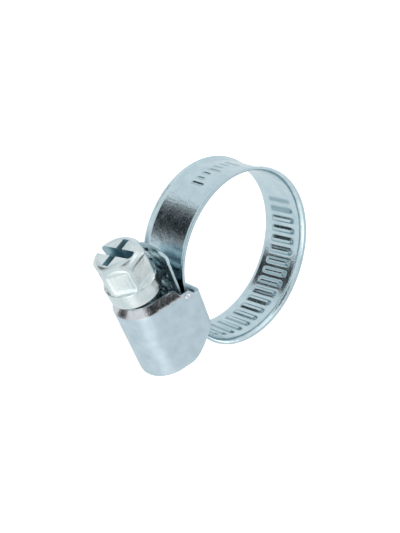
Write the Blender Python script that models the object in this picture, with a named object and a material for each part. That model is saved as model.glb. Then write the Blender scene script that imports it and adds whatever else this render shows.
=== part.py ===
"""Worm-drive hose clamp: linked band loop, housing and worm screw.

The bore axis is Z, through the origin. The housing sits at +Y and the screw head points to +X.
Lengths are millimetres and turn into metres where a mesh is made.
"""
import math

import bpy
import bmesh
from mathutils import Matrix, Vector

MM = 0.001

# Band strip
BAND_WIDTH = 7.5
BAND_THICK = 0.55
LINK_GAP = 0.25
GROOVE_PITCH = 1.65
GROOVE_DEPTH = 0.34
GROOVE_TOP_HALF = 0.5
GROOVE_BOTTOM_HALF = 0.3
GROOVE_HALF_LENGTH = 1.9
GROOVE_END = 0.45
GROOVE_MARGIN = 0.01
GROOVE_SLANT = -0.093
FIRST_GROOVE_S = 35.304
STATION_STEP = 1.45

# Path of the band's mid surface, clockwise from the housing round to the housing again
START = (0.5, 10.93)
RIGHT_SHOULDER_R = 9.538
RIGHT_SIDE_R = 10.91
BOTTOM_R = 11.984
LEFT_SIDE_R = 11.071
LEFT_SHOULDER_R = 11.394
EASE_IN = 3.0
EASE_OUT = 4.4
SHOULDER_TURN = 40.0
SIDE_TURN = 80.0
BOTTOM_TURN = 120.0
FIXED_END_X = -0.6
TAIL_TIP_X = 9.4
TIP_ROUND = 1.1
TAIL_Y = 11.6

# Hinges between the band's links, as lengths along the path
FIRST_HINGE_S = 4.2
LONG_LINK = 5.8329
LONG_LINKS = 10
SHORT_LINK = 3.3
SHORT_LINKS = 3

# Housing
HOUSING_REAR_X = -6.4
HOUSING_FRONT_X = 3.9
ARCH_Y = 14.9
ARCH_R = 4.04
SHEET = 0.53
LEG_SLOPE = 0.257
FOLD_R = 0.85
FOLD_BOTTOM_Y = 9.87
LIP_EDGE_Z = 2.2
LIP_REAR_X = -2.9
LIP_FRONT_X = 3.1
MOUTH_LENGTH = 0.7
MOUTH_INSET = 0.5
MOUTH_FADE_Y = (12.2, 13.7)

# Worm screw
SCREW_Y = 14.95
SCREW_TILT = 0.07
WORM_CREST_R = 3.12
WORM_ROOT_R = 2.5
WORM_REAR_X = -5.2
WORM_FRONT_X = 3.3
THREAD_FADE = 0.8
NECK_R = 2.4
COLLAR_R = 3.38
COLLAR_BOTTOM_X = 5.45
COLLAR_TOP_X = 7.73
HEX_AF = 6.0
HEX_CORNER_ANGLE = 11.0
HEX_CORNER_R = 3.28
HEX_CHAMFER = ((1.3, 3.28), (0.7, 3.2), (0.3, 2.97))
HEAD_TOP_X = 11.84
HEAD_TOP_R = 2.65
SLOT_WIDTH = 1.1
SLOT_DEPTH = 1.7
CROSS_WIDTH = 0.85
CROSS_REACH = 2.05
CROSS_DEPTH = 2.0
SEGMENTS = 36
THREAD_STEPS = 8

ZINC = (0.56, 0.62, 0.66, 1.0)


def clear_scene():
    for obj in list(bpy.data.objects):
        bpy.data.objects.remove(obj, do_unlink=True)


def metal(name, colour, roughness):
    mat = bpy.data.materials.new(name)
    mat.use_nodes = True
    shader = mat.node_tree.nodes["Principled BSDF"]
    shader.inputs["Base Color"].default_value = colour
    shader.inputs["Metallic"].default_value = 1.0
    shader.inputs["Roughness"].default_value = roughness
    return mat


def add_object(name, bm, mat, location=(0, 0, 0)):
    """Finish a bmesh given in millimetres relative to location, also in millimetres."""
    bmesh.ops.recalc_face_normals(bm, faces=bm.faces)
    bmesh.ops.scale(bm, vec=(MM, MM, MM), verts=bm.verts)
    mesh = bpy.data.meshes.new(name)
    bm.to_mesh(mesh)
    bm.free()
    mesh.materials.append(mat)
    mesh.shade_smooth()
    mesh.set_sharp_from_angle(angle=math.radians(35))
    obj = bpy.data.objects.new(name, mesh)
    obj.location = Vector(location) * MM
    bpy.context.collection.objects.link(obj)
    return obj


def cap(bm, ring, is_sheet):
    """Close a ring with one face, or with quads across a sheet's thickness."""
    if not is_sheet:
        bm.faces.new(ring)
        return
    last = len(ring) - 1
    for i in range(len(ring) // 2 - 1):
        bm.faces.new((ring[i], ring[i + 1], ring[last - i - 1], ring[last - i]))


def grid_solid(bm, rows, is_sheet=False):
    """A closed tube from rings of equal length. A sheet's ring is its outer row, then its inner row back."""
    rings = [[bm.verts.new(p) for p in row] for row in rows]
    for a, b in zip(rings, rings[1:]):
        for i in range(len(a)):
            j = (i + 1) % len(a)
            bm.faces.new((a[i], a[j], b[j], b[i]))
    cap(bm, rings[0], is_sheet)
    cap(bm, rings[-1], is_sheet)


# ---- band ----

def path_runs():
    """(length, curvature at start, curvature at end) of each stretch, clockwise."""
    shoulder_in = math.radians(SHOULDER_TURN) - EASE_IN / 2 / RIGHT_SHOULDER_R
    shoulder_out = math.radians(SHOULDER_TURN) - EASE_OUT / 2 / LEFT_SHOULDER_R
    side = math.radians(SIDE_TURN)
    return [
        (EASE_IN, 0.0, 1 / RIGHT_SHOULDER_R),
        (RIGHT_SHOULDER_R * shoulder_in, 1 / RIGHT_SHOULDER_R, 1 / RIGHT_SHOULDER_R),
        (RIGHT_SIDE_R * side, 1 / RIGHT_SIDE_R, 1 / RIGHT_SIDE_R),
        (BOTTOM_R * math.radians(BOTTOM_TURN), 1 / BOTTOM_R, 1 / BOTTOM_R),
        (LEFT_SIDE_R * side, 1 / LEFT_SIDE_R, 1 / LEFT_SIDE_R),
        (LEFT_SHOULDER_R * shoulder_out, 1 / LEFT_SHOULDER_R, 1 / LEFT_SHOULDER_R),
        (EASE_OUT, 1 / LEFT_SHOULDER_R, 0.0),
    ]


def trace_path(step=0.02):
    """Points (s, x, y, heading) along the mid surface."""
    x, y = START
    s, heading = 0.0, 0.0
    points = [(s, x, y, heading)]
    for length, k0, k1 in path_runs():
        count = max(2, round(length / step))
        ds = length / count
        for i in range(count):
            k = k0 + (k1 - k0) * (i + 0.5) / count
            mid = heading - k * ds / 2
            x += ds * math.cos(mid)
            y += ds * math.sin(mid)
            heading -= k * ds
            s += ds
            points.append((s, x, y, heading))
    return points


PATH = trace_path()
LOOP_LENGTH = PATH[-1][0]


def on_path(s):
    """(x, y, heading) at a length along the path, straight on beyond its ends."""
    if s <= 0.0:
        return START[0] + s, START[1], 0.0
    if s >= LOOP_LENGTH:
        return PATH[-1][1] + s - LOOP_LENGTH, PATH[-1][2], 0.0
    low, high = 0, len(PATH) - 1
    while high - low > 1:
        mid = (low + high) // 2
        if PATH[mid][0] <= s:
            low = mid
        else:
            high = mid
    a, b = PATH[low], PATH[high]
    f = (s - a[0]) / (b[0] - a[0])
    return tuple(a[i] + f * (b[i] - a[i]) for i in (1, 2, 3))


def tail_path(s):
    """The straight threaded end under the screw."""
    return s - LOOP_LENGTH + PATH[-1][1], TAIL_Y, 0.0


GROOVE_COLUMNS = (
    (-BAND_WIDTH / 2, 0.0),
    (-GROOVE_HALF_LENGTH - GROOVE_END, 0.0),
    (-GROOVE_HALF_LENGTH, 1.0),
    (GROOVE_HALF_LENGTH, 1.0),
    (GROOVE_HALF_LENGTH + GROOVE_END, 0.0),
    (BAND_WIDTH / 2, 0.0),
)


def groove_stations(s0, s1):
    """(s, depth, slant) rows between two ends, with four rows over each whole groove."""
    margin = GROOVE_TOP_HALF + abs(GROOVE_SLANT) * GROOVE_HALF_LENGTH + GROOVE_MARGIN
    rows = []
    centre = FIRST_GROOVE_S
    while centre < s1 - margin:
        if centre > s0 + margin:
            rows += [
                (centre - GROOVE_TOP_HALF, 0.0, 1.0),
                (centre - GROOVE_BOTTOM_HALF, 1.0, 1.0),
                (centre + GROOVE_BOTTOM_HALF, 1.0, 1.0),
                (centre + GROOVE_TOP_HALF, 0.0, 1.0),
            ]
        centre += GROOVE_PITCH
    return rows


def plain_stations(s0, s1, rows):
    """Add ungrooved rows so that no stretch is longer than STATION_STEP."""
    out = [(s0, 0.0, 0.0)]
    for row in rows + [(s1, 0.0, 0.0)]:
        gap = row[0] - out[-1][0]
        count = math.ceil(gap / STATION_STEP)
        last = out[-1]
        for i in range(1, count):
            f = i / count
            out.append((last[0] + gap * f, 0.0, last[2] * (1 - f) + row[2] * f))
        out.append(row)
    return out


def band_piece(name, s0, s1, mat, follow=on_path, grooved=False, round_tip=False):
    """A piece of the strip between two lengths along the path."""
    rows = plain_stations(s0, s1, groove_stations(s0, s1) if grooved else [])
    half = BAND_THICK / 2
    bm = bmesh.new()
    rings = []
    for s, depth, slant in rows:
        outer, inner = [], []
        for z, share in GROOVE_COLUMNS:
            reach = max(-GROOVE_HALF_LENGTH, min(GROOVE_HALF_LENGTH, z))
            here = s + slant * GROOVE_SLANT * reach
            if round_tip and s == s1:
                here -= TIP_ROUND * (abs(z) / (BAND_WIDTH / 2)) ** 3
            x, y, heading = follow(here)
            nx, ny = -math.sin(heading), math.cos(heading)
            top = half - GROOVE_DEPTH * depth * share
            outer.append((x + nx * top, y + ny * top, z))
            inner.append((x - nx * half, y - ny * half, z))
        rings.append(outer + inner[::-1])
    grid_solid(bm, rings, is_sheet=True)
    return add_object(name, bm, mat)


def hinge_lengths():
    """Hinges from the fixed end to the tail. The short links end midway between two grooves."""
    long_ones = [FIRST_HINGE_S + LONG_LINK * i for i in range(LONG_LINKS + 1)]
    return long_ones + [long_ones[-1] + SHORT_LINK * i for i in range(1, SHORT_LINKS + 1)]


def make_band(mat):
    fixed_start = FIXED_END_X - START[0]
    hinges = hinge_lengths()
    half_gap = LINK_GAP / 2
    band_piece("band_fixed_end", fixed_start, hinges[0] - half_gap, mat)
    for number, (a, b) in enumerate(zip(hinges, hinges[1:]), 1):
        grooved = b > FIRST_GROOVE_S
        link = band_piece(f"band_link_{number:02d}", a + half_gap, b - half_gap, mat, grooved=grooved)
        x, y, _ = on_path(a)
        move_origin(link, (x, y, 0.0))
    tip = TAIL_TIP_X - PATH[-1][1] + LOOP_LENGTH
    tail = band_piece("band_tail", hinges[-1] + half_gap, tip, mat, follow=tail_path, grooved=True, round_tip=True)
    x, y, _ = on_path(hinges[-1])
    move_origin(tail, (x, y, 0.0))


def move_origin(obj, point):
    """Put an object's origin at a point in millimetres without moving its shape."""
    shift = Vector(point) * MM
    obj.data.transform(Matrix.Translation(-shift))
    obj.location = shift


# ---- housing ----

def housing_section():
    """Mid line of the sheet's section as (y, z, outward y, outward z), from the far lip round."""
    mid_r = ARCH_R - SHEET / 2
    lean = math.atan(LEG_SLOPE)
    fold_mid_r = FOLD_R - SHEET / 2
    fold_y = FOLD_BOTTOM_Y + FOLD_R
    leg = (mid_r - (fold_y - ARCH_Y) * math.sin(lean)) / math.cos(lean)
    fold_z = leg - fold_mid_r / math.cos(lean)
    half = [(FOLD_BOTTOM_Y + SHEET / 2, LIP_EDGE_Z, -1.0, 0.0)]
    for i in range(6):
        a = math.radians(-90) + (math.radians(90) + lean) * i / 5
        out_y, out_z = math.sin(a), math.cos(a)
        half.append((fold_y + fold_mid_r * out_y, fold_z + fold_mid_r * out_z, out_y, out_z))
    for i in range(10):
        a = lean + (math.radians(90) - lean) * i / 9
        out_y, out_z = math.sin(a), math.cos(a)
        half.append((ARCH_Y + mid_r * out_y, mid_r * out_z, out_y, out_z))
    return [(y, -z, ny, -nz) for y, z, ny, nz in half] + half[-2::-1]


def mouth_share(y):
    low, high = MOUTH_FADE_Y
    return min(1.0, max(0.0, (y - low) / (high - low)))


def housing_ring(section, x, inset, forward):
    outer, inner = [], []
    for y, z, ny, nz in section:
        share = mouth_share(y)
        mid_y, mid_z = y - ny * inset * share, z - nz * inset * share
        here = x + forward * share
        outer.append((here, mid_y + ny * SHEET / 2, mid_z + nz * SHEET / 2))
        inner.append((here, mid_y - ny * SHEET / 2, mid_z - nz * SHEET / 2))
    return outer + inner[::-1]


def cutter(name, low, high):
    """A hidden box between two corners in millimetres."""
    bm = bmesh.new()
    bmesh.ops.create_cube(bm, size=1.0)
    size = [b - a for a, b in zip(low, high)]
    middle = [(a + b) / 2 for a, b in zip(low, high)]
    bmesh.ops.scale(bm, vec=size, verts=bm.verts)
    bmesh.ops.translate(bm, vec=middle, verts=bm.verts)
    obj = add_object(name, bm, bpy.data.materials[0])
    obj.hide_render = True
    obj.display_type = "WIRE"
    return obj


def subtract(obj, tool):
    mod = obj.modifiers.new(tool.name, "BOOLEAN")
    mod.operation = "DIFFERENCE"
    mod.solver = "EXACT"
    mod.object = tool


def make_housing(mat):
    section = housing_section()
    bm = bmesh.new()
    rear_round = 0.35
    rings = [
        housing_ring(section, HOUSING_REAR_X, rear_round, 0.0),
        housing_ring(section, HOUSING_REAR_X + 0.25, rear_round / 3, 0.0),
        housing_ring(section, HOUSING_REAR_X + 0.7, 0.0, 0.0),
        housing_ring(section, HOUSING_FRONT_X - 0.35, 0.0, 0.0),
        housing_ring(section, HOUSING_FRONT_X, MOUTH_INSET * 0.15, 0.0),
        housing_ring(section, HOUSING_FRONT_X, MOUTH_INSET, MOUTH_LENGTH),
    ]
    grid_solid(bm, rings, is_sheet=True)
    housing = add_object("housing", bm, mat)
    leg_bottom = 11.0
    subtract(housing, cutter("cut_rear_lips", (-8, 5, -7), (LIP_REAR_X, leg_bottom, 7)))
    subtract(housing, cutter("cut_front_lips", (LIP_FRONT_X, 5, -7), (6, leg_bottom, 7)))
    return housing


# ---- screw ----

def hex_radius(angle, corner_r):
    sector = math.radians(60)
    a = (angle - math.radians(HEX_CORNER_ANGLE)) % sector - sector / 2
    return min(HEX_AF / 2 / math.cos(a), corner_r)


def groove_x():
    """Where one groove's centre stands under the screw, along the tilted screw's own axis."""
    return FIRST_GROOVE_S - LOOP_LENGTH + PATH[-1][1] - WORM_CREST_R * math.sin(math.atan(SCREW_TILT))


def thread_share(x, angle):
    """0 at the root and 1 on the crest of a right-hand thread."""
    phase = ((x - groove_x()) / GROOVE_PITCH - angle / (2 * math.pi)) % 1.0
    ridge = abs(phase - 0.5) * 2
    share = min(1.0, max(0.0, (0.62 - ridge) / 0.36))
    fade = min((x - WORM_REAR_X) / THREAD_FADE, (WORM_FRONT_X - x) / THREAD_FADE, 1.0)
    return share * max(0.0, fade)


def screw_rings():
    """Rings of points along the screw's own axis, from the worm's nose to the head."""
    angles = [math.radians(HEX_CORNER_ANGLE) + 2 * math.pi * i / SEGMENTS for i in range(SEGMENTS)]

    def ring(x, radius):
        r = radius if callable(radius) else (lambda a: radius)
        return [(x, r(a) * math.cos(a), r(a) * math.sin(a)) for a in angles]

    rings = [ring(WORM_REAR_X - 0.5, 1.5), ring(WORM_REAR_X - 0.25, WORM_ROOT_R - 0.25)]
    count = round((WORM_FRONT_X - WORM_REAR_X) / GROOVE_PITCH * THREAD_STEPS)
    for i in range(count + 1):
        x = WORM_REAR_X + (WORM_FRONT_X - WORM_REAR_X) * i / count
        rise = WORM_CREST_R - WORM_ROOT_R
        rings.append(ring(x, lambda a, x=x: WORM_ROOT_R + rise * thread_share(x, a)))
    rings += [
        ring(WORM_FRONT_X + 0.3, NECK_R),
        ring(COLLAR_BOTTOM_X, NECK_R),
        ring(COLLAR_BOTTOM_X, COLLAR_R - 0.2),
        ring(COLLAR_BOTTOM_X + 0.2, COLLAR_R),
        ring(COLLAR_TOP_X - 0.1, COLLAR_R),
        ring(COLLAR_TOP_X, COLLAR_R - 0.08),
        ring(COLLAR_TOP_X, lambda a: hex_radius(a, HEX_CORNER_R)),
        *(ring(HEAD_TOP_X - drop, lambda a, r=r: hex_radius(a, r)) for drop, r in HEX_CHAMFER),
        ring(HEAD_TOP_X, lambda a: hex_radius(a, HEAD_TOP_R)),
    ]
    return rings


def screw_matrix():
    """Tilts the screw's own axis, which starts along +X, outward towards the head."""
    return Matrix.Rotation(math.atan(SCREW_TILT), 4, "Z")


def recess_cutter(name, length_from, length_to, width, depth, taper, angle):
    """A bar across the head's face, narrower at its bottom by taper."""
    bm = bmesh.new()
    top = HEAD_TOP_X + 0.5
    bottom = HEAD_TOP_X - depth
    corners = []
    for x, half in ((bottom, width / 2 - taper), (top, width / 2)):
        pull = taper if x == bottom else 0.0
        low, high = length_from + pull, length_to - pull
        for across, along in ((-half, low), (half, low), (half, high), (-half, high)):
            corners.append(bm.verts.new((x, along, across)))
    low_ring, high_ring = corners[:4], corners[4:]
    bm.faces.new(low_ring)
    bm.faces.new(list(reversed(high_ring)))
    for i in range(4):
        j = (i + 1) % 4
        bm.faces.new((low_ring[i], high_ring[i], high_ring[j], low_ring[j]))
    bmesh.ops.rotate(bm, cent=(0, 0, 0), matrix=Matrix.Rotation(angle, 3, "X"), verts=bm.verts)
    obj = add_object(name, bm, bpy.data.materials[0], (0.0, SCREW_Y, 0.0))
    obj.rotation_euler = screw_matrix().to_euler()
    obj.hide_render = True
    obj.display_type = "WIRE"
    return obj


def make_screw(mat):
    bm = bmesh.new()
    grid_solid(bm, screw_rings())
    screw = add_object("worm_screw", bm, mat, (0.0, SCREW_Y, 0.0))
    screw.rotation_euler = screw_matrix().to_euler()
    slot_angle = math.radians(HEX_CORNER_ANGLE - 90)
    cross_angle = math.radians(HEX_CORNER_ANGLE)
    subtract(screw, recess_cutter("cut_slot", -2.55, 4.5, SLOT_WIDTH, SLOT_DEPTH, 0.02, slot_angle))
    cross = recess_cutter("cut_cross", -CROSS_REACH, CROSS_REACH, CROSS_WIDTH, CROSS_DEPTH, 0.25, cross_angle)
    subtract(screw, cross)
    return screw


def main():
    clear_scene()
    band_zinc = metal("band_zinc", ZINC, 0.22)
    housing_zinc = metal("housing_zinc", (0.58, 0.63, 0.66, 1.0), 0.36)
    screw_zinc = metal("screw_zinc", (0.62, 0.65, 0.66, 1.0), 0.3)
    make_band(band_zinc)
    make_housing(housing_zinc)
    make_screw(screw_zinc)


main()
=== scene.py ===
"""Looks of the worm-drive hose clamp: one pressed band, a rolled housing and a forged hex screw.

The bore axis is Z, through the origin. The housing sits at +Y and the screw's head points to +X.
Lengths are millimetres until a mesh is made.
"""
import bisect
import math

import bmesh
import bpy
from mathutils import Matrix, Vector


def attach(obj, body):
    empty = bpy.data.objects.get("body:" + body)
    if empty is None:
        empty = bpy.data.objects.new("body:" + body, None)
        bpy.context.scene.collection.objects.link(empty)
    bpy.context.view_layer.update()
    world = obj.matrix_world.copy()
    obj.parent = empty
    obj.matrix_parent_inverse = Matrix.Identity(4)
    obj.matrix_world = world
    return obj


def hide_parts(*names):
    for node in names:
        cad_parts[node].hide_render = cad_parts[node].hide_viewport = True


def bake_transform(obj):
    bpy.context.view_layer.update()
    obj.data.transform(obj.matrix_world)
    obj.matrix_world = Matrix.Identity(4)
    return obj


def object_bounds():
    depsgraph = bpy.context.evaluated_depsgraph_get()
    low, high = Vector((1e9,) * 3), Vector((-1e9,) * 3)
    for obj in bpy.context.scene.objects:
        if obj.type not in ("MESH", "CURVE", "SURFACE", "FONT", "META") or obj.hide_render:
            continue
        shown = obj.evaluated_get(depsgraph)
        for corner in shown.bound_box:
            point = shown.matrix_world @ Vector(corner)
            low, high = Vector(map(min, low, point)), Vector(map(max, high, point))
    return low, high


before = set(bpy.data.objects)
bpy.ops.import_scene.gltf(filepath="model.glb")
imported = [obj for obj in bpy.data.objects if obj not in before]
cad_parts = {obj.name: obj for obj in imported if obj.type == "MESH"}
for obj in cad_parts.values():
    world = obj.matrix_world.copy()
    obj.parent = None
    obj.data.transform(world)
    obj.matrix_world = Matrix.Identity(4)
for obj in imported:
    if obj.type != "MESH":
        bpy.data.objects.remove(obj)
cad_low, cad_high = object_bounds()

MM = 0.001

# Zinc pattern. A noise is (cycles per millimetre, detail, roughness).
CLOUD_NOISE = (0.55, 4.0, 0.6)
GRAIN_NOISE = (3.2, 5.0, 0.7)
FINE_NOISE = (11.0, 3.0, 0.6)
LINE_NOISE = (1.0, 4.0, 0.7)
CLOUD_HEIGHT = 3.0
SPECK_RANGE = (0.6, 0.85)
SPECK_SHARE = 0.25
SPECK_DARK = 0.72
# Painted shade: a dark teal mixed into the zinc on the band's groove floors, inner bulge flanks and
# stamp walls, standing in for their shade and the reflections they cast on each other.
PAINTED_SHADE_COLOUR = (0.17, 0.29, 0.33)
PAINTED_SHADE_SHARE = 0.8

# Edges sharper than these angles, in degrees, are shaded sharp
SHARP_ANGLE = 40.0
HOUSING_SHARP = 28.0
SCREW_SHARP = 38.0

# Band strip: the path and links of the CAD model, with a shorter hidden end and a rounder tip
BAND_HALF_WIDTH = 3.75
BAND_THICK = 0.55
GROOVE_PITCH = 1.65
FIRST_GROOVE_S = 35.304
GROOVE_SLANT = -0.093
START = (0.5, 10.93)
RIGHT_SHOULDER_R = 9.538
RIGHT_SIDE_R = 10.91
BOTTOM_R = 11.984
LEFT_SIDE_R = 11.071
LEFT_SHOULDER_R = 11.394
EASE_IN = 3.0
EASE_OUT = 4.4
SHOULDER_TURN = 40.0
SIDE_TURN = 80.0
BOTTOM_TURN = 120.0
FIXED_END_X = 0.5
TAIL_TIP_X = 9.4
FIRST_HINGE_S = 4.2
LONG_LINK = 5.8329
LONG_LINKS = 10
SHORT_LINK = 3.3
SHORT_LINKS = 3
SEGMENT_STARTS = (1, 4, 7, 11, 12, 13)
BLEND_REACH = 2.4
TIP_LENGTH = 2.6
TIP_ROUND = 1.2

# Band detail that the CAD model leaves out. A column is (z, share of the thickness there).
FLAT_COLUMNS = 15
FLAT_COLUMN_STEP = 0.17
SHOULDER_COLUMNS = (2.62, 2.8, 2.92, 3.03, 3.14, 3.25, 3.36, 3.46, 3.55)
RIM_COLUMNS = ((3.63, 0.97), (3.69, 0.84), (3.73, 0.6), (BAND_HALF_WIDTH, 0.3))
STRIP_THICK = 0.4
FLARE_WIDTH = 0.85
FLARE_RISE = 0.42
FLARE_EARLY = 0.35
GROOVE_DEPTH = 0.32
BULGE_DEPTH = 0.24
GROOVE_OUTER_HALF = 0.54
GROOVE_FLOOR_HALF = 0.26
BULGE_FOOT_HALF = 0.66
BULGE_TOP_HALF = 0.06
GROOVE_LONG_HALF = 2.02
GROOVE_END_ROUND = 0.42
GROOVE_END_FADE = 0.12
GROOVE_RUN_IN = 3
ROW_STEP = 0.45
FINE_ROW_STEP = GROOVE_PITCH / 14
LEAST_ROW_STEP = 0.03
# Painted shade: how strongly the dark teal is laid on the groove floors, on the inner bulges'
# flanks and on the stamp walls, standing in for their shade.
GROOVE_PAINTED_SHADE = 0.75
BULGE_PAINTED_SHADE = 3.6
STAMP_PAINTED_SHADE = 2.4
STRIP_PATTERN_GAP = 7.0
STAMP_S = 19.6
STAMP_HALF = 3.6
STAMP_MARGIN = 0.5
STAMP_TICK_STEP = 1.05
STAMP_FOOT_Z = -0.95
STAMP_LONG = 1.9
STAMP_SHORT = 1.1
STAMP_DEPTH = 0.16
STAMP_STROKE = 0.18

# Housing: the section of the CAD model. The lip ends, the mouth, the curl and the rear corners
# are this script's own.
HOUSING_REAR_X = -6.4
HOUSING_FRONT_X = 3.9
ARCH_Y = 14.9
ARCH_R = 4.04
SHEET = 0.53
LEG_SLOPE = 0.257
FOLD_R = 0.85
FOLD_BOTTOM_Y = 9.87
LIP_STEPS = 5
FOLD_STEPS = 12
LEG_STEPS = 18
ARCH_STEPS = 27
SHEET_PATTERN_GAP = 9.0
LIP_EDGE_Z = 2.2
LIP_REAR_X = -2.6
LIP_FRONT_X = 3.15
LIP_STEP_Y = (10.75, 11.45)
REAR_CORNER_Y = (10.3, 14.6)
CURL_AT = (3.62, 11.9, 4.93)
CURL_R = 0.36
CURL_STRETCH = 1.25
CURL_CAP = 0.04
CURL_POINTS = 20
CURL_RINGS = 12
MOUTH_LENGTH = 0.72
MOUTH_INSET = 0.78
MOUTH_THIN = 0.24
MOUTH_FADE_Y = (12.5, 12.95)
MOUTH_CURVE = 0.9
MOUTH_RINGS = 6
LEG_END_THIN = 0.75
LEG_END_PUSH = 0.1
# The mouth's last ring: (more inset, more length, share of the lip's edge thickness)
MOUTH_EDGE = (0.05, 0.02, 0.5)
BODY_RINGS = 10
# (distance from the end, inset, share of the thickness) from the rear edge and from the front edge
REAR_EDGE = ((0.0, 0.12, 0.55), (0.03, 0.07, 0.82), (0.1, 0.03, 0.97), (0.35, 0.0, 1.0))
FRONT_EDGE = ((0.5, 0.0, 1.0), (0.12, 0.0, 1.0), (0.03, 0.02, 1.0))

# Worm screw: the main sizes of the CAD model. The head's corners, chamfer and recesses are
# this script's own.
SCREW_Y = 14.95
SCREW_TILT = 0.07
WORM_CREST_R = 3.12
WORM_ROOT_R = 2.5
WORM_REAR_X = -5.2
WORM_FRONT_X = 3.3
THREAD_FADE = 0.8
THREAD_FOOT = 0.6
THREAD_CREST = 0.26
# (distance behind the worm, radius) of its nose
NOSE = ((0.5, 0.7), (0.5, 1.45), (0.44, 1.65), (0.25, 2.15), (0.1, 2.42))
NECK_R = 2.4
NECK_RUN = 0.25
COLLAR_R = 3.38
COLLAR_BOTTOM_X = 5.45
COLLAR_TOP_X = 7.73
# (height over the collar's bottom or top, radius over the neck's or the collar's)
NECK_TOP = ((-0.12, 0.0), (-0.03, 0.06), (0.0, 0.2))
COLLAR_LOW_EDGE = ((0.0, -0.3), (0.05, -0.14), (0.16, -0.03), (0.3, 0.0), (0.9, 0.01))
COLLAR_HIGH_EDGE = ((-0.5, 0.0), (-0.3, 0.02), (-0.12, 0.03), (-0.03, 0.0))
HEX_FOOT = 0.1
HEX_FOOT_INSET = 0.05
HEX_FOOT_SHARES = (0.0, 0.3, 1.0)
HEX_AF = 6.0
HEX_CORNER_R = 3.3
HEX_CORNER_ANGLE = 11.0
HEAD_TOP_X = 11.84
HEAD_TOP_R = 2.62
HEAD_ROUND = 0.25
HEAD_ROUND_SLOPE = 1.1
HEAD_CHAMFER_SLOPE = 0.72
HEAD_EDGE_SOFTNESS = 0.022
HEAD_FACE_STEP = 0.02
HEAD_FACE_INSETS = (0.05, 0.25)
HEAD_RINGS = 44
PANEL_DEPTH = 0.14
PANEL_SIDE = (0.12, 0.5)
PANEL_TOP = (0.75, 1.25)
PANEL_BOTTOM = (0.22, 0.6)
SLOT_WIDTH = 1.25
SLOT_DEPTH = 1.7
SLOT_BLIND_REACH = 2.62
SLOT_OPEN_REACH = 4.5
SLOT_TAPER = 0.03
SLOT_END_ROUND = 0.35
CROSS_WIDTH = 1.05
CROSS_REACH = 2.3
CROSS_DEPTH = 1.9
CROSS_TAPER = 0.3
CROSS_END_ROUND = 0.1
CUTTER_RISE = 0.6
CUTTER_END_STEPS = 10
EDGE_WEAR = 0.04
WEAR_ANGLE = 50.0
SCREW_SEGMENTS = 144
THREAD_STEPS = 16

# Camera, in millimetres and direction cosines
CAMERA_AT = (59.96, 47.96, 65.51)
CAMERA_LOOK = (-0.600, -0.435, -0.671)
CAMERA_UP = (0.749, -0.600, -0.281)
CAMERA_LENS = 50.3

# Studio, in metres. A card is (name, azimuth, elevation, size, glow in its middle and at its edge).
CARD_DISTANCE = 0.17
CARDS = (
    ("flag_low", 36, -40, (0.135, 0.1), (0.0, 0.4)),
    ("flag_mid", 8, 27, (0.12, 0.055), (0.0, 0.3)),
    ("flag_side", 226, 26, (0.09, 0.07), (0.5, 0.9)),
    ("card_front", 131, 22, (0.08, 0.08), (1.3, 1.0)),
)
# A light is (name, place, size, power in watts).
LIGHTS = (
    ("key_light", (-0.05, 0.28, 0.2), 0.2, 0.12),
    ("fill_light", (0.25, -0.15, 0.2), 0.25, 0.08),
    ("rim_light", (-0.1, -0.3, 0.12), 0.15, 0.1),
)
FLOOR_SIZE = 3.0
FLOOR_DROP = 0.0005
FLOOR_GLOW = 0.55


def smooth(low, high, value):
    """0 below low and 1 above high, with a smooth step between; low may be above high."""
    t = min(1.0, max(0.0, (value - low) / (high - low)))
    return t * t * (3.0 - 2.0 * t)


# ---- materials ----

class Nodes:
    """A short way to add and link shader nodes."""

    def __init__(self, tree):
        self.tree = tree

    def add(self, kind, **values):
        node = self.tree.nodes.new(kind)
        for key, value in values.items():
            if hasattr(node, key):
                setattr(node, key, value)
            else:
                node.inputs[key.replace("_", " ")].default_value = value
        return node

    def link(self, source, target):
        self.tree.links.new(source, target)

    def stretched(self, vector, scale):
        node = self.add("ShaderNodeMapping", vector_type="POINT")
        node.inputs["Scale"].default_value = scale
        self.link(vector, node.inputs["Vector"])
        return node.outputs["Vector"]

    def noise(self, vector, scale, detail, roughness):
        node = self.add("ShaderNodeTexNoise", Scale=scale, Detail=detail, Roughness=roughness)
        self.link(vector, node.inputs["Vector"])
        return node.outputs["Fac"]

    def ramp(self, value, low, high, from_low=0.3, from_high=0.7):
        node = self.add("ShaderNodeMapRange")
        node.inputs["From Min"].default_value = from_low
        node.inputs["From Max"].default_value = from_high
        node.inputs["To Min"].default_value = low
        node.inputs["To Max"].default_value = high
        self.link(value, node.inputs["Value"])
        return node.outputs["Result"]

    def mix_colour(self, factor, first, second):
        node = self.add("ShaderNodeMix", data_type="RGBA")
        self.link(factor, node.inputs["Factor"])
        for key, value in (("A", first), ("B", second)):
            socket = [s for s in node.inputs if s.name == key and s.type == "RGBA"][0]
            if isinstance(value, tuple):
                socket.default_value = (*value, 1.0)
            else:
                self.link(value, socket)
        return [s for s in node.outputs if s.type == "RGBA"][0]

    def bump(self, height, distance, normal=None):
        node = self.add("ShaderNodeBump", Strength=1.0, Distance=distance)
        self.link(height, node.inputs["Height"])
        if normal is not None:
            self.link(normal, node.inputs["Normal"])
        return node.outputs["Normal"]


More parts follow.
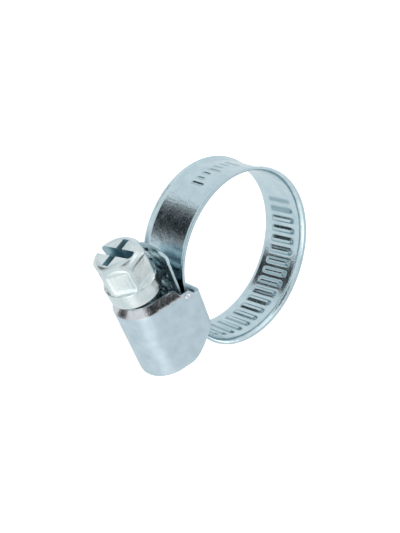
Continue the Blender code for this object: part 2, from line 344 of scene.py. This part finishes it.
def zinc(name, light, dark, rough, mottle, streak_scale, streak, spots):
    """Bright zinc plate. Its pattern follows the piece's own flat coordinates, in millimetres.

    rough is the (low, high) roughness. mottle, streak and spots are bump heights in millimetres.
    """
    mat = bpy.data.materials.new(name)
    mat.use_nodes = True
    n = Nodes(mat.node_tree)
    shader = mat.node_tree.nodes["Principled BSDF"]
    shader.inputs["Metallic"].default_value = 1.0
    flat = n.add("ShaderNodeAttribute", attribute_name="flat_mm").outputs["Vector"]
    cloud = n.noise(flat, *CLOUD_NOISE)
    grain = n.noise(flat, *GRAIN_NOISE)
    fine = n.noise(flat, *FINE_NOISE)
    lines = n.noise(n.stretched(flat, streak_scale), *LINE_NOISE)
    tone = n.mix_colour(n.ramp(cloud, 0.0, 1.0), light, dark)
    darker = tuple(SPECK_DARK * c for c in dark)
    speck = n.mix_colour(n.ramp(fine, 0.0, SPECK_SHARE, *SPECK_RANGE), tone, darker)
    # Painted shade: the per-point share from the band's grooves, bulges and stamp darkens the zinc
    # towards the dark teal.
    pressed = n.add("ShaderNodeAttribute", attribute_name="painted_shade").outputs["Fac"]
    shaded_tone = n.mix_colour(n.ramp(pressed, 0.0, PAINTED_SHADE_SHARE, 0.0, 1.0), speck, PAINTED_SHADE_COLOUR)
    n.link(shaded_tone, shader.inputs["Base Color"])
    n.link(n.ramp(grain, rough[0], rough[1]), shader.inputs["Roughness"])
    normal = n.bump(cloud, mottle * MM * CLOUD_HEIGHT)
    normal = n.bump(grain, mottle * MM, normal)
    normal = n.bump(lines, streak * MM, normal)
    normal = n.bump(fine, spots * MM, normal)
    n.link(normal, shader.inputs["Normal"])
    return mat


def make_materials():
    band = zinc(
        "band_zinc", (0.60, 0.71, 0.75), (0.50, 0.62, 0.67), (0.13, 0.24),
        mottle=0.02, streak_scale=(0.12, 3.0, 1.0), streak=0.004, spots=0.002,
    )
    housing = zinc(
        "housing_zinc", (0.60, 0.70, 0.75), (0.48, 0.59, 0.65), (0.3, 0.42),
        mottle=0.02, streak_scale=(1.6, 0.5, 0.25), streak=0.012, spots=0.005,
    )
    mouth = zinc(
        "mouth_zinc", (0.74, 0.76, 0.78), (0.60, 0.60, 0.62), (0.08, 0.2),
        mottle=0.01, streak_scale=(3.0, 0.3, 0.3), streak=0.004, spots=0.002,
    )
    screw = zinc(
        "screw_zinc", (0.76, 0.82, 0.81), (0.60, 0.68, 0.70), (0.14, 0.28),
        mottle=0.022, streak_scale=(2.4, 0.8, 0.8), streak=0.008, spots=0.005,
    )
    # Painted shade: a darker copy of the screw's zinc for the slot and the cross, standing in for
    # the shade inside them.
    recess_shade = zinc(
        "recess_painted_shade", (0.36, 0.50, 0.54), (0.24, 0.38, 0.43), (0.22, 0.4),
        mottle=0.022, streak_scale=(2.0, 2.0, 2.0), streak=0.006, spots=0.005,
    )
    return {"band": band, "housing": housing, "mouth": mouth, "screw": screw, "recess_shade": recess_shade}


# ---- meshes ----

def grid_piece(
    name, rings, flats, mats, is_sheet=True, pick=None, sharp=SHARP_ANGLE, painted_shades=None
):
    """A solid from rings of equal length, which are (x, y, z) rows in millimetres.

    flats holds a pattern coordinate for each point. A sheet's ring is its outer row, then its
    inner row back, and its ends are closed across the thickness. pick(ring, place) gives a
    material index. The last argument gives each point's share of the dark painted shade
    on the band's groove floors, bulge flanks and stamp walls.
    """
    count = len(rings[0])
    verts = [tuple(c * MM for c in p) for ring in rings for p in ring]
    faces, indices = [], []
    for k in range(len(rings) - 1):
        for i in range(count):
            j = (i + 1) % count
            a, b = k * count, (k + 1) * count
            faces.append((a + i, a + j, b + j, b + i))
            indices.append(pick(k, i) if pick else 0)
    for base, flip in ((0, True), ((len(rings) - 1) * count, False)):
        if is_sheet:
            for i in range(count // 2 - 1):
                quad = (base + i, base + i + 1, base + count - 2 - i, base + count - 1 - i)
                faces.append(quad[::-1] if flip else quad)
        else:
            ring = tuple(range(base, base + count))
            faces.append(ring[::-1] if flip else ring)
    indices += [0] * (len(faces) - len(indices))
    mesh = bpy.data.meshes.new(name)
    mesh.from_pydata(verts, [], faces)
    for mat in mats:
        mesh.materials.append(mat)
    mesh.polygons.foreach_set("material_index", indices)
    flat = mesh.attributes.new("flat_mm", "FLOAT_VECTOR", "POINT")
    flat.data.foreach_set("vector", [c for row in flats for p in row for c in p])
    if painted_shades:
        painted_shade = mesh.attributes.new("painted_shade", "FLOAT", "POINT")
        painted_shade.data.foreach_set("value", [t for row in painted_shades for t in row])
    bm = bmesh.new()
    bm.from_mesh(mesh)
    bmesh.ops.recalc_face_normals(bm, faces=bm.faces)
    bm.to_mesh(mesh)
    bm.free()
    mesh.shade_smooth()
    mesh.set_sharp_from_angle(angle=math.radians(sharp))
    obj = bpy.data.objects.new(name, mesh)
    bpy.context.collection.objects.link(obj)
    return obj


# ---- band ----

def trace_path(step=0.02):
    """Points (s, x, y, heading) along the band's mid surface, clockwise from the housing."""
    shoulder_in = math.radians(SHOULDER_TURN) - EASE_IN / 2 / RIGHT_SHOULDER_R
    shoulder_out = math.radians(SHOULDER_TURN) - EASE_OUT / 2 / LEFT_SHOULDER_R
    arcs = [
        (RIGHT_SHOULDER_R, shoulder_in),
        (RIGHT_SIDE_R, math.radians(SIDE_TURN)),
        (BOTTOM_R, math.radians(BOTTOM_TURN)),
        (LEFT_SIDE_R, math.radians(SIDE_TURN)),
        (LEFT_SHOULDER_R, shoulder_out),
    ]
    runs = [(EASE_IN, 0.0, 1 / RIGHT_SHOULDER_R)]
    runs += [(radius * turn, 1 / radius, 1 / radius) for radius, turn in arcs]
    runs += [(EASE_OUT, 1 / LEFT_SHOULDER_R, 0.0)]
    x, y = START
    s, heading = 0.0, 0.0
    points = [(s, x, y, heading)]
    for length, k0, k1 in runs:
        count = max(2, round(length / step))
        ds = length / count
        for i in range(count):
            k = k0 + (k1 - k0) * (i + 0.5) / count
            mid = heading - k * ds / 2
            x += ds * math.cos(mid)
            y += ds * math.sin(mid)
            heading -= k * ds
            s += ds
            points.append((s, x, y, heading))
    return points


PATH = trace_path()
PATH_S = [p[0] for p in PATH]
LOOP_LENGTH = PATH_S[-1]


def on_path(s):
    """(x, y, heading) at a length along the path, straight on beyond its ends."""
    if s <= 0.0:
        return START[0] + s, START[1], 0.0
    if s >= LOOP_LENGTH:
        return PATH[-1][1] + s - LOOP_LENGTH, PATH[-1][2], 0.0
    high = min(max(bisect.bisect_right(PATH_S, s), 1), len(PATH) - 1)
    a, b = PATH[high - 1], PATH[high]
    f = (s - a[0]) / (b[0] - a[0])
    return tuple(a[i] + f * (b[i] - a[i]) for i in (1, 2, 3))


def strip_columns():
    """(z, share of the thickness) across the strip, closest over the groove ends and the edges."""
    half = [(FLAT_COLUMN_STEP * i, 1.0) for i in range(FLAT_COLUMNS)]
    half += [(z, 1.0) for z in SHOULDER_COLUMNS]
    half += RIM_COLUMNS
    return [(-z, share) for z, share in half[:0:-1]] + half


COLUMNS = strip_columns()


def flare(z):
    """How far the strip's edge is rolled outward."""
    t = max(0.0, abs(z) - (BAND_HALF_WIDTH - FLARE_WIDTH)) / FLARE_WIDTH
    return FLARE_RISE * t * t * (1.0 + FLARE_EARLY * (1.0 - t))


def groove(s, z, top, floor):
    """Depth share of the pressed grooves at a point of the strip."""
    reach = max(-GROOVE_LONG_HALF, min(GROOVE_LONG_HALF, z))
    place = (s - GROOVE_SLANT * reach - FIRST_GROOVE_S) / GROOVE_PITCH
    index = round(place)
    if index < 0:
        return 0.0
    across = smooth(top, floor, abs(place - index) * GROOVE_PITCH)
    ends = GROOVE_LONG_HALF + GROOVE_END_FADE, GROOVE_LONG_HALF - GROOVE_END_ROUND
    along = smooth(*ends, abs(z))
    run_in = min(1.0, (index + 1.0) / GROOVE_RUN_IN)
    return across * along * run_in


def stamp_ticks():
    """A plain row of scale ticks, every third one long: (s, low z, high z)."""
    ticks = []
    for i in range(-3, 4):
        length = STAMP_LONG if i % 3 == 0 else STAMP_SHORT
        ticks.append((STAMP_S + STAMP_TICK_STEP * i, STAMP_FOOT_Z, STAMP_FOOT_Z + length))
    return ticks


TICKS = stamp_ticks()


def stamp(s, z):
    """Depth share of the stamped ticks at a point of the strip's outer face."""
    if abs(s - STAMP_S) > STAMP_HALF + STAMP_MARGIN:
        return 0.0
    away = min(math.hypot(s - at, z - max(low, min(high, z))) for at, low, high in TICKS)
    return smooth(STAMP_STROKE * 1.5, STAMP_STROKE * 0.3, away)


def strip_stations(s0, s1):
    """Row positions: close together over the grooves and the stamp."""
    rows = [s0]
    while rows[-1] < s1 - 1e-6:
        s = rows[-1]
        grooved = s > FIRST_GROOVE_S - 2 * GROOVE_PITCH
        stamped = abs(s + ROW_STEP / 2 - STAMP_S) < STAMP_HALF + ROW_STEP
        step = FINE_ROW_STEP if grooved or stamped else ROW_STEP
        rows.append(min(s + step, s1))
    if rows[-1] - rows[-2] < LEAST_ROW_STEP:
        rows.pop(-2)
    return rows


def strip_row(s, tip):
    """One ring of the strip, its flat coordinates and its shares of painted shade. tip is the free
    end, if any.
    """
    outer, inner = [], []
    flat_out, flat_in = [], []
    painted_shade_out, painted_shade_in = [], []
    base = -BAND_THICK / 2
    for z, share in COLUMNS:
        here = s
        if tip is not None:
            room = max(0.0, 1.0 - (tip - s) / TIP_LENGTH)
            here -= TIP_ROUND * room * (abs(z) / BAND_HALF_WIDTH) ** 3
        x, y, heading = on_path(here)
        nx, ny = -math.sin(heading), math.cos(heading)
        middle = base + flare(z) + STRIP_THICK / 2
        half = STRIP_THICK / 2 * share
        sunk = groove(s, z, GROOVE_OUTER_HALF, GROOVE_FLOOR_HALF)
        raised = groove(s, z, BULGE_FOOT_HALF, BULGE_TOP_HALF)
        struck = stamp(s, z)
        top = middle + half - GROOVE_DEPTH * sunk - STAMP_DEPTH * struck
        bottom = middle - half - BULGE_DEPTH * raised
        outer.append((x + nx * top, y + ny * top, z))
        inner.append((x + nx * bottom, y + ny * bottom, z))
        flat_out.append((s, z, 0.0))
        flat_in.append((s, z, STRIP_PATTERN_GAP))
        # Painted shade: darker on the groove floors and stamp walls outside, and on the bulge
        # flanks inside.
        painted_shade_out.append(max(GROOVE_PAINTED_SHADE * sunk, STAMP_PAINTED_SHADE * struck * (1.0 - struck)))
        painted_shade_in.append(BULGE_PAINTED_SHADE * raised * (1.0 - raised))
    return outer + inner[::-1], flat_out + flat_in[::-1], painted_shade_out + painted_shade_in[::-1]


def strip_piece(name, s0, s1, mat, tip=None):
    """The strip from s0 to s1. tip is the strip's free end, where the piece has it."""
    rings, flats, painted_shades = zip(*(strip_row(s, tip) for s in strip_stations(s0, s1)))
    return grid_piece(name, rings, flats, [mat], painted_shades=painted_shades)


def path_point(s):
    x, y, _ = on_path(s)
    return (x * MM, y * MM, 0.0)


def make_band(mat):
    """One strip, cut in the middle of each link. A piece over a working hinge is left in place, on
    no body.
    """
    hinges = [FIRST_HINGE_S + LONG_LINK * i for i in range(LONG_LINKS + 1)]
    hinges += [hinges[-1] + SHORT_LINK * i for i in range(1, SHORT_LINKS + 1)]
    cuts = [FIXED_END_X - START[0]]
    cuts += [(a + b) / 2 for a, b in zip(hinges, hinges[1:])]
    cuts.append(hinges[-1] + SHORT_LINK / 2)
    body = "housing"
    for i, hinge in enumerate(hinges):
        piece = strip_piece(f"strip_{i:02d}", cuts[i], cuts[i + 1], mat)
        following = body
        if i + 1 in SEGMENT_STARTS:
            following = f"segment_{SEGMENT_STARTS.index(i + 1) + 1:02d}"
        elif i + 1 == len(hinges):
            following = "tail"
        if following == body:
            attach(piece, body)
        else:
            reach = min(BLEND_REACH, hinge - cuts[i], cuts[i + 1] - hinge) * 0.95
            path_point(hinge - reach)
            path_point(hinge + reach)
            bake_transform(piece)
        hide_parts(f"band_link_{i:02d}" if i else "band_fixed_end")
        body = following
    tip = TAIL_TIP_X - PATH[-1][1] + LOOP_LENGTH
    tail = strip_piece("strip_tail", cuts[-1], tip, mat, tip=tip)
    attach(tail, "tail")
    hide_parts("band_tail")


# ---- housing ----

def housing_section():
    """(y, z, outward y, outward z) along the sheet's middle, from the far lip to the near lip."""
    mid_r = ARCH_R - SHEET / 2
    lean = math.atan(LEG_SLOPE)
    fold_mid_r = FOLD_R - SHEET / 2
    fold_y = FOLD_BOTTOM_Y + FOLD_R
    leg = (mid_r - (fold_y - ARCH_Y) * math.sin(lean)) / math.cos(lean)
    fold_z = leg - fold_mid_r / math.cos(lean)
    half = []
    lip_y = FOLD_BOTTOM_Y + SHEET / 2
    for i in range(LIP_STEPS):
        half.append((lip_y, LIP_EDGE_Z + (fold_z - LIP_EDGE_Z) * i / LIP_STEPS, -1.0, 0.0))
    for i in range(FOLD_STEPS + 1):
        a = math.radians(-90) + (math.radians(90) + lean) * i / FOLD_STEPS
        out_y, out_z = math.sin(a), math.cos(a)
        half.append((fold_y + fold_mid_r * out_y, fold_z + fold_mid_r * out_z, out_y, out_z))
    leg_low = half[-1]
    leg_high = (ARCH_Y + mid_r * math.sin(lean), mid_r * math.cos(lean), leg_low[2], leg_low[3])
    for i in range(1, LEG_STEPS):
        half.append(tuple(a + (b - a) * i / LEG_STEPS for a, b in zip(leg_low, leg_high)))
    for i in range(ARCH_STEPS + 1):
        a = lean + (math.radians(90) - lean) * i / ARCH_STEPS
        out_y, out_z = math.sin(a), math.cos(a)
        half.append((ARCH_Y + mid_r * out_y, mid_r * out_z, out_y, out_z))
    return [(y, -z, ny, -nz) for y, z, ny, nz in half] + half[-2::-1]


def housing_stations():
    """(end, way from that end, inset, forward, thickness share) of each ring, rear to front."""
    rows = [("rear", away, inset, 0.0, share) for away, inset, share in REAR_EDGE]
    rows += [("body", i / BODY_RINGS, 0.0, 0.0, 1.0) for i in range(1, BODY_RINGS)]
    rows += [("front", away, inset, 0.0, share) for away, inset, share in FRONT_EDGE]
    edge = MOUTH_THIN / SHEET
    for i in range(1, MOUTH_RINGS + 1):
        t = i / MOUTH_RINGS
        inset = MOUTH_INSET * t ** MOUTH_CURVE
        rows.append(("front", 0.0, inset, MOUTH_LENGTH * t, 1.0 - (1.0 - edge) * t))
    more_inset, more_length, share = MOUTH_EDGE
    rows.append(("front", 0.0, MOUTH_INSET + more_inset, MOUTH_LENGTH + more_length, edge * share))
    return rows


def housing_ends(y):
    """The sheet is shorter at its folds than over the arch, with a rounded corner at the rear."""
    share = smooth(LIP_STEP_Y[0], LIP_STEP_Y[1], y)
    up = min(1.0, max(0.0, (y - REAR_CORNER_Y[0]) / (REAR_CORNER_Y[1] - REAR_CORNER_Y[0])))
    rear = LIP_REAR_X + (HOUSING_REAR_X - LIP_REAR_X) * math.sin(math.pi / 2 * up)
    front = LIP_FRONT_X + (HOUSING_FRONT_X - LIP_FRONT_X) * share
    return rear, front


def housing_ring(section, row):
    """One ring of the sheet and its flat coordinates, which run along and round it."""
    end, way, inset, forward, thick = row
    outer, inner, flat_out, flat_in = [], [], [], []
    run = 0.0
    last = section[0]
    for y, z, ny, nz in section:
        run += math.hypot(y - last[0], z - last[1])
        last = (y, z)
        rear_x, front_x = housing_ends(y)
        mouth = smooth(MOUTH_FADE_Y[0], MOUTH_FADE_Y[1], y)
        if end == "rear":
            x, push, half = rear_x + way, inset, SHEET / 2 * thick
        elif end == "body":
            x, push, half = rear_x + (front_x - rear_x) * way, 0.0, SHEET / 2
        else:
            leg = 1.0 - mouth
            leg_end = leg * min(1.0, forward / MOUTH_LENGTH)
            x = front_x - way + forward * mouth + LEG_END_PUSH * leg_end
            push = inset * mouth
            half = SHEET / 2 * (thick * mouth + (1.0 - LEG_END_THIN * leg_end) * leg)
        mid_y, mid_z = y - ny * push, z - nz * push
        outer.append((x, mid_y + ny * half, mid_z + nz * half))
        inner.append((x, mid_y - ny * half, mid_z - nz * half))
        flat_out.append((x, run, 0.0))
        flat_in.append((x, run, SHEET_PATTERN_GAP))
    return outer + inner[::-1], flat_out + flat_in[::-1]


def make_housing(mats):
    section = housing_section()
    rows = housing_stations()
    first_lip = len(rows) - MOUTH_RINGS - 2
    rings, flats = zip(*(housing_ring(section, row) for row in rows))

    def pick(k, i):
        place = i if i < len(section) else 2 * len(section) - 1 - i
        on_arch = section[min(place, len(section) - 1)][0] > MOUTH_FADE_Y[0]
        return 1 if k >= first_lip and on_arch else 0

    surfaces = [mats["housing"], mats["mouth"]]
    housing = grid_piece(
        "housing_shell", rings, flats, surfaces, pick=pick, sharp=HOUSING_SHARP
    )
    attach(housing, "housing")
    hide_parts("housing")


def make_curl(mat):
    """The sheet's small rolled corner beside the mouth, on the side where the band enters."""
    x, y, z = CURL_AT
    rings = []
    for k in range(CURL_RINGS + 1):
        polar = math.pi * (CURL_CAP + (1.0 - 2.0 * CURL_CAP) * k / CURL_RINGS)
        along, side = CURL_R * CURL_STRETCH * math.cos(polar), CURL_R * math.sin(polar)
        turns = [2 * math.pi * i / CURL_POINTS for i in range(CURL_POINTS)]
        ring = [(x + side * math.cos(a), y + along, z + side * math.sin(a)) for a in turns]
        rings.append(ring)
    curl = grid_piece("mouth_curl", rings, rings, [mat], is_sheet=False)
    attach(curl, "housing")


# ---- screw ----

def face_place(angle):
    """The angle from the middle of the flat at this angle."""
    sector = math.radians(60)
    return (angle - math.radians(HEX_CORNER_ANGLE)) % sector - sector / 2


def head_radius(x, angle):
    """Hex head with forged, slightly sunken flats and a rounded chamfer at the top."""
    a = face_place(angle)
    flat = HEX_AF / 2 / math.cos(a)
    side = HEX_AF / 2 * math.tan(a)
    edge = HEX_AF / 2 * math.tan(math.radians(30))
    beside = smooth(edge - PANEL_SIDE[0], edge - PANEL_SIDE[1], abs(side))
    above = smooth(HEAD_TOP_X - PANEL_TOP[0], HEAD_TOP_X - PANEL_TOP[1], x)
    below = smooth(COLLAR_TOP_X + PANEL_BOTTOM[0], COLLAR_TOP_X + PANEL_BOTTOM[1], x)
    flat -= PANEL_DEPTH * beside * above * below
    drop = HEAD_TOP_X - x
    cone = HEAD_TOP_R + HEAD_ROUND_SLOPE * min(drop, HEAD_ROUND)
    cone += HEAD_CHAMFER_SLOPE * max(0.0, drop - HEAD_ROUND)
    radii = (flat, HEX_CORNER_R, cone)
    low = min(radii)
    soft = HEAD_EDGE_SOFTNESS
    return low - soft * math.log(sum(math.exp((low - r) / soft) for r in radii))


def groove_x():
    """Where one groove's centre stands under the screw, along the tilted screw's own axis."""
    lean = WORM_CREST_R * math.sin(math.atan(SCREW_TILT))
    return FIRST_GROOVE_S - LOOP_LENGTH + PATH[-1][1] - lean


def thread_share(x, angle):
    """0 at the root and 1 on the crest of a right-hand thread."""
    phase = ((x - groove_x()) / GROOVE_PITCH - angle / (2 * math.pi)) % 1.0
    share = smooth(THREAD_FOOT, THREAD_CREST, abs(phase - 0.5) * 2)
    fade = min((x - WORM_REAR_X) / THREAD_FADE, (WORM_FRONT_X - x) / THREAD_FADE, 1.0)
    return share * max(0.0, fade)


def screw_profile():
    """(x, radius rule) rings along the screw's own axis, from the nose to the head's face."""
    def turned(points):
        return [(x, lambda along, a, r=r: r) for x, r in points]

    rows = turned((WORM_REAR_X - back, r) for back, r in NOSE)
    rise = WORM_CREST_R - WORM_ROOT_R
    count = round((WORM_FRONT_X - WORM_REAR_X) / GROOVE_PITCH * THREAD_STEPS)
    for i in range(count + 1):
        x = WORM_REAR_X + (WORM_FRONT_X - WORM_REAR_X) * i / count
        rows.append((x, lambda along, a: WORM_ROOT_R + rise * thread_share(along, a)))
    low, high = COLLAR_BOTTOM_X, COLLAR_TOP_X
    rows += turned([(WORM_FRONT_X + NECK_RUN, NECK_R)])
    rows += turned((low + up, NECK_R + more) for up, more in NECK_TOP)
    rows += turned((low + up, COLLAR_R + more) for up, more in COLLAR_LOW_EDGE)
    rows += turned((high + up, COLLAR_R + more) for up, more in COLLAR_HIGH_EDGE)

    def into_hex(share):
        foot_r = COLLAR_R - HEX_FOOT_INSET
        return lambda along, a: foot_r * (1 - share) + head_radius(along, a) * share

    def face_ring(inset):
        return lambda along, a: head_radius(last, a) - inset

    rows += [(high + HEX_FOOT * share, into_hex(share)) for share in HEX_FOOT_SHARES]
    first, last = high + HEX_FOOT, HEAD_TOP_X - HEAD_FACE_STEP
    for i in range(1, HEAD_RINGS + 1):
        rows.append((first + (last - first) * i / HEAD_RINGS, head_radius))
    for i, inset in enumerate(HEAD_FACE_INSETS):
        rows.append((HEAD_TOP_X + HEAD_FACE_STEP * i, face_ring(inset)))
    return rows


def screw_matrix():
    """From the screw's own axis, along +X through its origin, to its tilted place."""
    tilt = Matrix.Rotation(math.atan(SCREW_TILT), 4, "Z")
    return Matrix.Translation((0, SCREW_Y * MM, 0)) @ tilt


def bar(name, mat, low, high, width, depth, taper, angle, end_round):
    """A cutter across the head's face: a bar with a tapered bottom and a rounded low end."""
    bm = bmesh.new()
    outline = [(-width / 2, high), (width / 2, high)]
    for i in range(CUTTER_END_STEPS + 1):
        a = math.pi * i / CUTTER_END_STEPS
        outline.append((width / 2 * math.cos(a), low + end_round * (1 - math.sin(a))))
    rings = []
    for x, pull in ((HEAD_TOP_X - depth, taper), (HEAD_TOP_X + CUTTER_RISE, 0.0)):
        narrow = 1.0 - 2.0 * pull / width
        ring = []
        for across, along in outline:
            toward = along + pull if along < 0 else along - pull
            ring.append(bm.verts.new((x * MM, toward * MM, across * narrow * MM)))
        rings.append(ring)
    bm.faces.new(rings[0])
    bm.faces.new(rings[1][::-1])
    for i in range(len(outline)):
        j = (i + 1) % len(outline)
        bm.faces.new((rings[0][i], rings[1][i], rings[1][j], rings[0][j]))
    bmesh.ops.recalc_face_normals(bm, faces=bm.faces)
    bmesh.ops.rotate(bm, cent=(0, 0, 0), matrix=Matrix.Rotation(angle, 3, "X"), verts=bm.verts)
    mesh = bpy.data.meshes.new(name)
    bm.to_mesh(mesh)
    bm.free()
    mesh.materials.append(mat)
    obj = bpy.data.objects.new(name, mesh)
    bpy.context.collection.objects.link(obj)
    return obj


def cut_recesses(screw, mat):
    """Cut the open slot and the cross arms into the head, lined with the darker zinc as painted
    shade, and leave one plain mesh.
    """
    slot_angle = math.radians(HEX_CORNER_ANGLE - 90)
    cross_angle = math.radians(HEX_CORNER_ANGLE)
    cutters = [
        bar(
            "cut_slot", mat, -SLOT_BLIND_REACH, SLOT_OPEN_REACH, SLOT_WIDTH, SLOT_DEPTH,
            SLOT_TAPER, slot_angle, SLOT_END_ROUND,
        ),
        bar(
            "cut_cross", mat, -CROSS_REACH, CROSS_REACH, CROSS_WIDTH, CROSS_DEPTH,
            CROSS_TAPER, cross_angle, CROSS_END_ROUND,
        ),
    ]
    for tool in cutters:
        mod = screw.modifiers.new(tool.name, "BOOLEAN")
        mod.operation = "DIFFERENCE"
        mod.solver = "EXACT"
        mod.object = tool
        mod.material_mode = "TRANSFER"
    bevel = screw.modifiers.new("edge_wear", "BEVEL")
    bevel.width = EDGE_WEAR * MM
    bevel.segments = 2
    bevel.limit_method = "ANGLE"
    bevel.angle_limit = math.radians(WEAR_ANGLE)
    depsgraph = bpy.context.evaluated_depsgraph_get()
    mesh = bpy.data.meshes.new_from_object(screw.evaluated_get(depsgraph), depsgraph=depsgraph)
    screw.modifiers.clear()
    screw.data = mesh
    for tool in cutters:
        bpy.data.objects.remove(tool, do_unlink=True)
    mesh.shade_smooth()
    mesh.set_sharp_from_angle(angle=math.radians(SCREW_SHARP))


def make_screw(mat, recess_shade):
    first = math.radians(HEX_CORNER_ANGLE)
    turns = [first + 2 * math.pi * i / SCREW_SEGMENTS for i in range(SCREW_SEGMENTS)]
    rings = []
    for x, rule in screw_profile():
        radii = [rule(x, a) for a in turns]
        rings.append([(x, r * math.cos(a), r * math.sin(a)) for r, a in zip(radii, turns)])
    screw = grid_piece("screw_body", rings, rings, [mat], is_sheet=False)
    # The slot and cross take the darker zinc: painted shade.
    cut_recesses(screw, recess_shade)
    screw.matrix_world = screw_matrix()
    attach(screw, "screw")
    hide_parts("worm_screw")


# ---- studio ----

def make_camera():
    data = bpy.data.cameras.new("camera")
    data.lens = CAMERA_LENS
    data.sensor_width = 36.0
    data.clip_start = 0.001
    data.clip_end = 10.0
    cam = bpy.data.objects.new("camera", data)
    look, up = Vector(CAMERA_LOOK).normalized(), Vector(CAMERA_UP)
    right = look.cross(up).normalized()
    up = right.cross(look)
    turn = Matrix((right, up, -look)).transposed().to_4x4()
    cam.matrix_world = Matrix.Translation(Vector(CAMERA_AT) * MM) @ turn
    bpy.context.collection.objects.link(cam)
    bpy.context.scene.camera = cam


def make_world():
    """Soft white studio, brightest a little above the horizon."""
    world = bpy.data.worlds.new("studio")
    bpy.context.scene.world = world
    world.use_nodes = True
    n = Nodes(world.node_tree)
    background = world.node_tree.nodes["Background"]
    where = n.add("ShaderNodeTexCoord").outputs["Generated"]
    split = n.add("ShaderNodeSeparateXYZ")
    n.link(where, split.inputs["Vector"])
    ramp = n.add("ShaderNodeValToRGB")
    n.link(split.outputs["Z"], ramp.inputs["Fac"])
    stops = ramp.color_ramp.elements
    stops[0].color = (0.88, 0.93, 0.95, 1)
    stops[1].position = 0.9
    stops[1].color = (0.74, 0.79, 0.82, 1)
    middle = stops.new(0.4)
    middle.color = (1.0, 1.0, 1.0, 1)
    n.link(ramp.outputs["Color"], background.inputs["Color"])
    background.inputs["Strength"].default_value = 1.0


def plane(name, size, centre, facing):
    """A flat stage panel in metres, facing a direction."""
    mesh = bpy.data.meshes.new(name)
    w, h = size[0] / 2, size[1] / 2
    mesh.from_pydata([(-w, -h, 0), (w, -h, 0), (w, h, 0), (-w, h, 0)], [], [(0, 1, 2, 3)])
    obj = bpy.data.objects.new(name, mesh)
    bpy.context.collection.objects.link(obj)
    obj.rotation_mode = "QUATERNION"
    obj.rotation_quaternion = Vector(facing).to_track_quat("Z", "Y")
    obj.location = centre
    return obj


def panel_direction(azimuth, elevation):
    a, e = math.radians(azimuth), math.radians(elevation)
    return Vector((math.cos(a) * math.cos(e), math.sin(a) * math.cos(e), math.sin(e)))


def flat_material(name, colour, glow):
    mat = bpy.data.materials.new(name)
    mat.use_nodes = True
    shader = mat.node_tree.nodes["Principled BSDF"]
    shader.inputs["Base Color"].default_value = (*colour, 1)
    shader.inputs["Roughness"].default_value = 1.0
    shader.inputs["Specular IOR Level"].default_value = 0.0
    shader.inputs["Emission Color"].default_value = (1, 1, 1, 1)
    shader.inputs["Emission Strength"].default_value = glow
    return mat


def graded_material(name, size, glow):
    """A card whose glow changes from its middle to its edge."""
    mat = flat_material(name, (0.004, 0.006, 0.008), 0.0)
    n = Nodes(mat.node_tree)
    shader = mat.node_tree.nodes["Principled BSDF"]
    place = n.add("ShaderNodeTexCoord").outputs["Object"]
    place = n.stretched(place, (2 / size[0], 2 / size[1], 0.0))
    length = n.add("ShaderNodeVectorMath", operation="LENGTH")
    n.link(place, length.inputs[0])
    level = n.ramp(length.outputs["Value"], glow[0], glow[1], 0.5, 1.05)
    n.link(level, shader.inputs["Emission Strength"])
    return mat


def make_stage():
    """A white floor, cards that only reflections see, and three soft lights."""
    floor = plane("floor", (FLOOR_SIZE, FLOOR_SIZE), (0, 0, cad_low.z - FLOOR_DROP), (0, 0, 1))
    floor.data.materials.append(flat_material("floor_white", (0.9, 0.9, 0.9), FLOOR_GLOW))
    floor.visible_glossy = False
    for name, azimuth, elevation, size, glow in CARDS:
        at = panel_direction(azimuth, elevation) * CARD_DISTANCE
        card = plane(name, size, at, -at)
        card.data.materials.append(graded_material(name, size, glow))
        card.visible_camera = False
        card.visible_diffuse = False
        card.visible_shadow = False
    for name, at, size, power in LIGHTS:
        data = bpy.data.lights.new(name, "AREA")
        data.size = size
        data.energy = power
        lamp = bpy.data.objects.new(name, data)
        lamp.location = at
        lamp.rotation_mode = "QUATERNION"
        lamp.rotation_quaternion = (-Vector(at)).to_track_quat("-Z", "Y")
        bpy.context.collection.objects.link(lamp)


def main():
    bpy.context.scene.view_settings.view_transform = "Standard"
    make_camera()
    make_world()
    make_stage()
    mats = make_materials()
    make_band(mats["band"])
    make_housing(mats)
    make_curl(mats["mouth"])
    make_screw(mats["screw"], mats["recess_shade"])


main()
